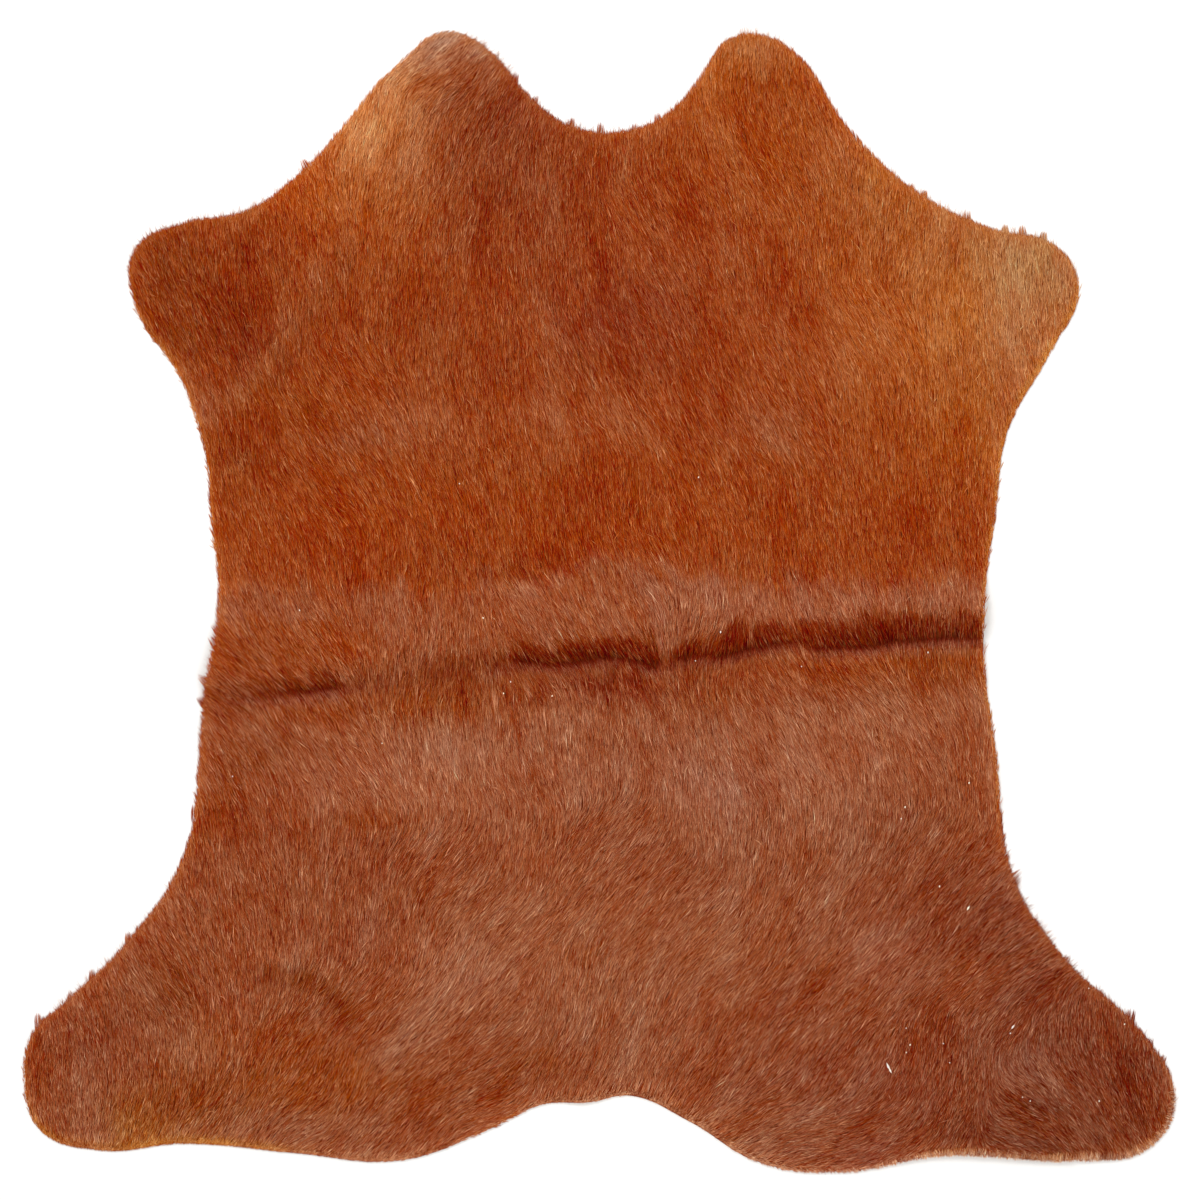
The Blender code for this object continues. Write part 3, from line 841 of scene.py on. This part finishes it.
# Scurf and white hairs: x, y, heading, length
whiteFlecks = [
    (323.5, -332, 35, 4.5), (321.5, -337, 35, 1.4), (226, -363, -26, 7), (227.5, -366, -26, 5),
    (240, -352, 0, 1.4), (243, -346, 30, 1.8), (240, -333, 0, 1.2), (288.5, -239, 30, 4.5),
    (391, -390, 0, 1.8), (337, -390, 0, 1.6), (331, -387, 0, 1.2), (383, -302, 0, 1.2), (269, -345, 0, 1.2),
    (411, -330, 40, 1.6), (274, -360, 0, 1.2), (94.5, -23, 0, 2.2), (257, -39, 0, 1.8), (158, -50, 0, 1.2),
    (239, -160, 10, 2), (236, -169, 0, 1.4), (289, -141, 20, 2), (266, -222, 10, 2), (-75, -71, 0, 1.6),
    (-37, -73, 30, 1.6), (-90.8, -12, -15, 1.8), (-69.5, -62, 0, 1.4), (77.5, 98, 20, 1.6),
    (75, -45.5, 0, 1.3), (-109.5, 93, 0, 1.4), (-170, -110, 0, 1.2), (-287, -136, 0, 1.3),
    (-234.5, -6, -20, 1.6),
]


fringeTable = tableOf("x shows turnOut length", fringeRows, ["shows", "turnOut"])


def alongRim(count):
    # places spread evenly along the cut edge, the way out of the hide there, and how far along each is
    ends = np.concatenate([rim, rim[:1]])
    run = np.concatenate([[0], np.cumsum(np.hypot(*np.diff(ends, axis=0).T))])
    at = (np.arange(count) + chance.uniform(0, 1, count)) * run[-1] / count
    place = np.stack([np.interp(at, run, ends[:, axis]) for axis in (0, 1)])
    return place, np.arctan2(-read(inwardX, *place), -read(inwardY, *place)), at


def blendedHeading(first, second, share):
    x = np.sin(first) * (1 - share) + np.sin(second) * share
    y = np.cos(first) * (1 - share) + np.cos(second) * share
    return np.arctan2(x, y)


def fringeHairs():
    place, out, at = alongRim(fringe["strands"])
    shows = np.where(place[1] < fringe["behind"], valueAt(fringeTable, "shows", place[0]), 0.7)
    bare = np.clip(0.3 + 1.1 * read(fromCut, *place), 0, 1)
    kept = chance.uniform(0, 1, len(at)) < bare * shows
    place, out, at = place[:, kept], out[kept], at[kept]
    x, count = place[0], len(at)
    turnOut = np.where(place[1] < fringe["behind"], valueAt(fringeTable, "turnOut", x), 0)
    short = chance.uniform(0, 1, count) < fringe["shortOnes"]
    length = valueAt(fringeTable, "length", x) * chance.uniform(0.7, 1.15, count) * np.where(short, 0.5, 1)
    locked = smoothNoise(at, 0 * at, fringe["lockSize"], 51)
    direction = blendedHeading(heading(*place), out, turnOut)
    direction = direction + fringe["turn"]["hair"] * chance.normal(0, 1, count)
    direction = direction + fringe["turn"]["lock"] * smoothNoise(at, 0 * at, fringe["lockSize"], 52)
    overhang = fringe["overhang"] * chance.uniform(-0.4, 1, count) * (1 + 0.3 * locked) * (1 + 1.4 * turnOut)
    buried = chance.uniform(-1.2, 1, count) * np.where(short, 1, 3.5) * mm
    buried = (1 - turnOut) * np.maximum(buried, -1.2 * mm) + turnOut * (length - overhang)
    root = walk(place, out, -buried)
    half = walk(root, direction, 0.5 * length)
    tip = walk(half, direction, 0.5 * length)
    shade = chance.normal(0, fringe["hairShade"], count) + fringe["pinch"] * locked * (1 + turnOut)
    under = coatColour(*walk(place, out, -9 * mm))
    showing = np.clip(1.05 - 0.5 * (1 - turnOut) * buried / (3 * mm), 0.2, 1) * (0.85 - 0.2 * turnOut)
    showing = showing * np.clip(0.8 + 0.5 * smoothNoise(at, 0 * at, 14 * mm, 54), 0.2, 1)
    ground = mixed(under, cutColour(x), showing * (1 - 0.3 * turnOut))
    tones = []
    for along, fine in ((-0.02, 0), (0.0, 0.2), (0.02, 1.0)):
        lit = fine * turnOut * chance.uniform(0.2, 1, count)
        tone = mixed(ground, coatTones["fringe tips"], lit)
        tones.append(tone + (shade + along)[:, None] * hairTone)
    lift = chance.uniform(0.45, 0.85, count) + 0.2 * turnOut
    return grown([root, half, tip], lift, fringe["width"], 0.7, 1.2, tones)


def outlineTuftHairs():
    table = np.repeat(np.array(outlineTufts, float), outlineTuft["strands"], 0).T
    count = table.shape[1]
    tip, turn, reach = table[:2] * mm, np.radians(table[2]), table[3] * mm
    aside = outlineTuft["spread"] * chance.uniform(-1, 1, count)
    back = outlineTuft["buried"] + reach
    short = reach * chance.uniform(0, 0.55, count) * (1 + abs(aside) / outlineTuft["spread"])
    tip = walk(walk(tip, turn, outlineTuft["further"] - short), turn + math.pi / 2, 0.75 * aside)
    root = walk(walk(tip, turn, -back), turn + math.pi / 2, 0.5 * aside)
    half = walk(walk(tip, turn, -0.5 * back), turn + math.pi / 2, 0.35 * aside)
    shade = chance.normal(0, coat["shadeVaries"]["hair"], count)
    tones = [coatColour(*root) + (shade + along)[:, None] * hairTone for along in (-0.08, 0.0, 0.05)]
    return grown([root, half, tip], chance.uniform(0.6, 1.0, count), outlineTuft["width"], 0.8, 1.2, tones)


def outlineHairs():
    place, out, at = alongRim(outlineHair["strands"])
    direction = heading(*place) + outlineHair["turn"] * chance.normal(0, 1, len(at))
    kept = np.cos(direction - out) > 0.2
    place, direction, at = place[:, kept], direction[kept], at[kept]
    count = len(at)
    uneven = 1 + 0.6 * smoothNoise(at, 0 * at, 9 * mm, 53)
    reach = np.minimum(outlineHair["reach"] * uneven * chance.exponential(1, count), outlineHair["longest"])
    root = walk(place, direction, -outlineHair["buried"])
    half = walk(place, direction, 0.4 * (reach - outlineHair["buried"]))
    tip = walk(place, direction, reach)
    tone = coatColour(*root) + chance.normal(0, 0.06, count)[:, None] * hairTone
    tones = [tone, tone, mixed(tone, coatTones["fringe tips"], 0.35)]
    return grown([root, half, tip], chance.uniform(0.5, 1.0, count), outlineHair["width"], 0.8, 1.2, tones)


def strayHairs():
    root = roots()
    root = root[:, ::root.shape[1] // strayHair["strands"]]
    root = root[:, read(inward, *root) > strayHair["length"]]
    count = root.shape[1]
    direction = heading(*root) + strayHair["turn"] * chance.normal(0, 1, count)
    length = strayHair["length"] * chance.uniform(0.5, 1.1, count)
    half = walk(root, direction, 0.5 * length)
    tip = walk(half, direction + strayHair["bend"] * chance.uniform(-1, 1, count), 0.5 * length)
    shade = strayHair["paler"] * chance.uniform(0.3, 1.4, count)
    tones = [coatColour(*half) + shade[:, None] * hairTone] * 3
    return grown([root, half, tip], chance.uniform(1.0, 1.12, count), strayHair["width"], 0.8, 1.2, tones)


def whiteFleckHairs():
    table = np.array(whiteFlecks, float).T
    middle, turn, length = table[:2] * mm, np.radians(table[2]), table[3] * mm
    return {
        "place": [walk(middle, turn, share * length) for share in (-0.5, 0, 0.5)],
        "lift": np.full(len(length), 1.12),
        "width": 0.9 * mm + 0.14 * length,
        "roll": np.zeros(len(length)),
        "tones": [np.tile(coatTones["white hair"], (len(length), 1))] * 3,
    }


def together(groups):
    # one lot of hairs from several
    joined = {key: np.concatenate([group[key] for group in groups]) for key in ("lift", "width", "roll")}
    joined["place"] = [np.hstack([group["place"][k] for group in groups]) for k in range(3)]
    joined["tones"] = [np.concatenate([group["tones"][k] for group in groups]) for k in range(3)]
    return joined


def hairPoints(hairs):
    # four points to a hair: root, both sides of its middle, tip
    root, half, tip = hairs["place"]
    to = tip - root
    to = to / np.maximum(np.hypot(*to), 0.1 * mm)
    lift, roll, reach = hairs["lift"], hairs["roll"], 0.5 * hairs["width"]
    sink = np.where(lift > 1, 0.9 * lift, 0.05 * lift)  # a stray hair lies on the coat from end to end

    def level(place, share):
        ground = read(leatherZ, *place)
        deep = np.maximum(read(coatTopZ, *place) - ground, 0.9 * mm)
        beside = np.clip(-read(inward, *place), 0, None)  # over the edge the hair sinks towards the floor
        return np.maximum(ground + deep * share - 0.45 * beside, 0.25 * mm)

    side = np.array([to[1] * np.cos(roll), -to[0] * np.cos(roll), np.sin(roll)]) * reach
    middle = np.array([*half, level(half, np.where(lift > 1, lift, 0.62 * lift))])
    points = np.empty((len(lift), 4, 3), np.float32)
    points[:, 0] = np.stack([*root, level(root, sink)], 1)
    points[:, 1] = (middle + side).T
    points[:, 2] = (middle - side).T
    points[:, 1:3, 2] = np.maximum(points[:, 1:3, 2], 0.2 * mm)
    points[:, 3] = np.stack([*tip, level(tip, lift)], 1)
    return points


def hairColours(hairs):
    count = len(hairs["lift"])
    root, middle, tip = hairs["tones"]
    side = (coat["sideShade"] * chance.uniform(0.2, 1.3, count))[:, None] * hairTone
    colours = np.ones((count, 4, 4), np.float32)
    for corner, tone in enumerate((root, middle - side, middle + side, tip)):
        colours[:, corner, :3] = np.clip(coat["gain"] * linear(tone) - coat["veil"], 0, 1)
    return colours


def bakeMap(place):
    # a cell of the map for each hair, in rows as they grow, so that neighbours there are neighbours here
    x, y = place
    count = len(x)
    across = math.ceil(math.sqrt(count))
    row = np.argsort(np.argsort(y, kind="stable"), kind="stable") // across
    order = np.lexsort((x, row))
    cell = np.empty(count, int)
    cell[order] = np.arange(count)
    left, low = (cell % across) / across, (cell // across) / across
    corner = np.array([(0.5, 0.05), (0.9, 0.5), (0.1, 0.5), (0.5, 0.95)]) / across
    return np.stack([left, low], 1)[:, None] + corner[None]


def hairMesh(name, points, colours, places):
    # two triangles to a hair, a kite that is widest in its middle
    count = len(points)
    faces = np.array([(0, 1, 2), (2, 1, 3)])
    corners = (np.arange(count)[:, None, None] * 4 + faces[None]).ravel()
    mesh = bpy.data.meshes.new(name)
    mesh.vertices.add(count * 4)
    mesh.vertices.foreach_set("co", points.ravel())
    mesh.loops.add(len(corners))
    mesh.loops.foreach_set("vertex_index", corners.astype(np.int32))
    mesh.polygons.add(count * 2)
    mesh.polygons.foreach_set("loop_start", np.arange(0, len(corners), 3, dtype=np.int32))
    mesh.polygons.foreach_set("use_smooth", np.ones(count * 2, bool))
    mesh.update(calc_edges=True)
    mesh.color_attributes.new("coat", "FLOAT_COLOR", "POINT").data.foreach_set("color", colours.ravel())
    layer = mesh.uv_layers.new(name="OFBake")
    layer.uv.foreach_set("vector", places.reshape(-1, 2)[corners].astype(np.float32).ravel())
    mesh.materials.append(calfHair)
    print(name, "has", count, "hairs")
    return placed(name, mesh)


def calfHairMaterial():
    # Calf hair, tanned on the skin: smooth keratin scales give each hair a narrow soft highlight,
    # and dye and sun leave it redder here and paler there; its colour also carries painted sheen and painted
    # shade.
    material, tree, where = newMaterial("calf hair, hair-on tanned")
    grown = addNode(tree, "Attribute", {"attribute_name": "coat"})
    # growth rings of colour along a hair, about 3 mm apart
    along = addNode(tree, "TexNoise", {"Scale": 1 / (3 * mm), "Detail": 2.0}, {"Vector": where})
    band = addNode(tree, "MapRange", {"To Min": 0.88, "To Max": 1.12}, {"Value": along.outputs["Fac"]})
    links = {"Color": grown.outputs["Color"], "Value": band.outputs["Result"]}
    tone = addNode(tree, "HueSaturation", {}, links)
    # the grease that the tanner leaves makes some locks shinier, over some 20 mm
    grease = addNode(tree, "TexNoise", {"Scale": 1 / (20 * mm), "Detail": 3.0}, {"Vector": where})
    rough = addNode(tree, "MapRange", {"To Min": 0.42, "To Max": 0.62}, {"Value": grease.outputs["Fac"]})
    links = {"Base Color": tone.outputs["Color"], "Roughness": rough.outputs["Result"]}
    finished(tree, {"IOR": 1.55, "Metallic": 0.0, "Specular IOR Level": 0.02}, links)
    return material


calfHair = calfHairMaterial()


def growCoat():
    hairs = coatHairs()
    points, colours = hairPoints(hairs), hairColours(hairs)
    order = np.argsort(-hairs["place"][0][1], kind="stable")
    pieces = []
    for region, share in zip(coat["regions"], np.array_split(order, len(coat["regions"]))):
        places = bakeMap(hairs["place"][0][:, share])
        pieces.append(hairMesh("coat_" + region, points[share], colours[share], places))
    return pieces


def growEdge():
    # what comes on top of the coat: the fringe of the cut edge, locks that stick out, stray and white hairs
    hairs = together([fringeHairs(), outlineTuftHairs(), outlineHairs(), strayHairs(), whiteFleckHairs()])
    return hairMesh("coat_edge", hairPoints(hairs), hairColours(hairs), bakeMap(hairs["place"][0]))


coatPieces = growCoat() + [growEdge()]


def leatherMesh():
    # one sheet as thick as the leather, with its cut side, on the folds of the CAD sheet
    pitch = form["sheetPitch"]
    inner = []
    for row, y in enumerate(np.arange(gridY[0], gridY[-1], pitch * math.sin(math.radians(60)))):
        for x in np.arange(gridX[0] + pitch / 2 * (row % 2), gridX[-1], pitch):
            inner.append((x, y))
    inner = np.array(inner)
    inner = inner[read(inward, *inner.T) > form["rimGap"]]
    places = [Vector(point) for point in np.concatenate([rim, inner])]
    count = len(rim)
    edges = [(i, (i + 1) % count) for i in range(count)]
    flat, _, faces, _, _, _ = delaunay_2d_cdt(places, edges, [], 1, 0.01 * mm)
    flat = np.array([tuple(point) for point in flat])
    total = len(flat)
    low, high = read(undersideZ, *flat.T), read(leatherZ, *flat.T)
    points = np.concatenate([np.column_stack([flat, high]), np.column_stack([flat, low])])
    top = [tuple(face) for face in faces]
    under = [tuple(total + i for i in reversed(face)) for face in faces]
    side = [(total + a, total + b, b, a) for a, b in edges]
    mesh = bpy.data.meshes.new("hide_leather")
    mesh.from_pydata([tuple(point) for point in points], [], top + under + side)
    mesh.materials.append(hairSideMaterial())
    mesh.materials.append(fleshSideMaterial())
    slots = np.repeat([0, 1], [len(top), len(under) + len(side)])
    mesh.polygons.foreach_set("material_index", slots.astype(np.int32))
    smooth = np.repeat([True, False], [len(top) + len(under), len(side)])
    mesh.polygons.foreach_set("use_smooth", smooth)
    mesh.update()
    return mesh


def hairSideMaterial():
    # The grain side of the leather, dyed with the coat and made darker as painted shade: it shows only as
    # the dark between the hairs.
    material, tree, where = newMaterial("calf leather, hair side")
    pores = addNode(tree, "TexVoronoi", {"Scale": 1 / (1.2 * mm)}, {"Vector": where})
    tone = addNode(tree, "Mix", {"data_type": "RGBA"}, {"Factor": pores.outputs["Distance"]})
    tone.inputs[6].default_value = (*linear("#6a2206"), 1)
    tone.inputs[7].default_value = (*linear("#8a380f"), 1)
    deep = {"Strength": 0.4, "Distance": 0.3 * mm}
    raised = addNode(tree, "Bump", deep, {"Height": pores.outputs["Distance"]})
    links = {"Base Color": tone.outputs[2], "Normal": raised.outputs["Normal"]}
    finished(tree, {"IOR": 1.5, "Roughness": 0.8, "Specular IOR Level": 0.1}, links)
    return material


def fleshSideMaterial():
    # The flesh side and the cut: split fibres, so it is pale, matt and a little fuzzy.
    material, tree, where = newMaterial("calf leather, flesh side suede")
    nap = addNode(tree, "TexNoise", {"Scale": 1 / (0.8 * mm), "Detail": 4.0}, {"Vector": where})
    cloud = addNode(tree, "TexNoise", {"Scale": 1 / (45 * mm), "Detail": 3.0}, {"Vector": where})
    tone = addNode(tree, "Mix", {"data_type": "RGBA"}, {"Factor": cloud.outputs["Fac"]})
    tone.inputs[6].default_value = (*linear("#b98a5e"), 1)
    tone.inputs[7].default_value = (*linear("#d9b891"), 1)
    raised = addNode(tree, "Bump", {"Strength": 0.5, "Distance": 0.3 * mm}, {"Height": nap.outputs["Fac"]})
    links = {"Base Color": tone.outputs[2], "Normal": raised.outputs["Normal"]}
    finished(tree, {"IOR": 1.5, "Roughness": 0.9, "Sheen Weight": 0.3}, links)
    return material


leather = placed("hide_leather", leatherMesh())
print("leather sheet has", len(leather.data.polygons), "faces")


for piece in [leather] + coatPieces:
    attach(piece, "root")
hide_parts("hide")


studio = {
    "floorSize": 24.0,
    "floorColour": "#f4f3f1",
    "dome": 0.78,  # even light from all round, as from white walls
    "cameraHeight": 3.4,
    "viewWidth": 0.940,  # metres across the picture, at the floor
    "viewMiddle": (0.4 * mm, 2.0 * mm),
    "sensor": 36.0,
    # name, place, width, watts
    "softboxes": [("key softbox", (-0.7, 1.5, 2.2), 1.4, 34), ("fill softbox", (0.9, -1.4, 2.4), 1.8, 16)],
}


def layFloor():
    half = studio["floorSize"] / 2
    mesh = bpy.data.meshes.new("floor")
    corners = [(-half, -half, 0), (half, -half, 0), (half, half, 0), (-half, half, 0)]
    mesh.from_pydata(corners, [], [(0, 1, 2, 3)])
    material, tree, where = newMaterial("matt white board")
    fibre = addNode(tree, "TexNoise", {"Scale": 1 / (2 * mm)}, {"Vector": where})
    rough = addNode(tree, "MapRange", {"To Min": 0.85, "To Max": 0.95}, {"Value": fibre.outputs["Fac"]})
    settings = {"Base Color": (*linear(studio["floorColour"]), 1)}
    finished(tree, settings, {"Roughness": rough.outputs["Result"]})
    mesh.materials.append(material)
    placed("floor", mesh)


def hangLight(name, place, size, power):
    lamp = bpy.data.lights.new(name, "AREA")
    lamp.shape = "DISK"
    lamp.size = size
    lamp.energy = power
    light = placed(name, lamp)
    light.location = place
    light.rotation_euler = (-Vector(place)).to_track_quat("-Z", "Y").to_euler()


def setWorld():
    world = bpy.data.worlds.new("white walls")
    bpy.context.scene.world = world
    world.use_nodes = True
    light = world.node_tree.nodes["Background"].inputs
    light["Color"].default_value = (1, 1, 1, 1)
    light["Strength"].default_value = studio["dome"]


def placeCamera():
    data = bpy.data.cameras.new("camera")
    data.sensor_width = studio["sensor"]
    data.lens = studio["sensor"] * studio["cameraHeight"] / studio["viewWidth"]
    data.clip_end = 100
    camera = placed("camera", data)
    camera.location = (*studio["viewMiddle"], studio["cameraHeight"])
    bpy.context.scene.camera = camera


layFloor()
setWorld()
for softbox in studio["softboxes"]:
    hangLight(*softbox)
placeCamera()
bpy.context.scene.view_settings.view_transform = "Standard"
print("studio set")
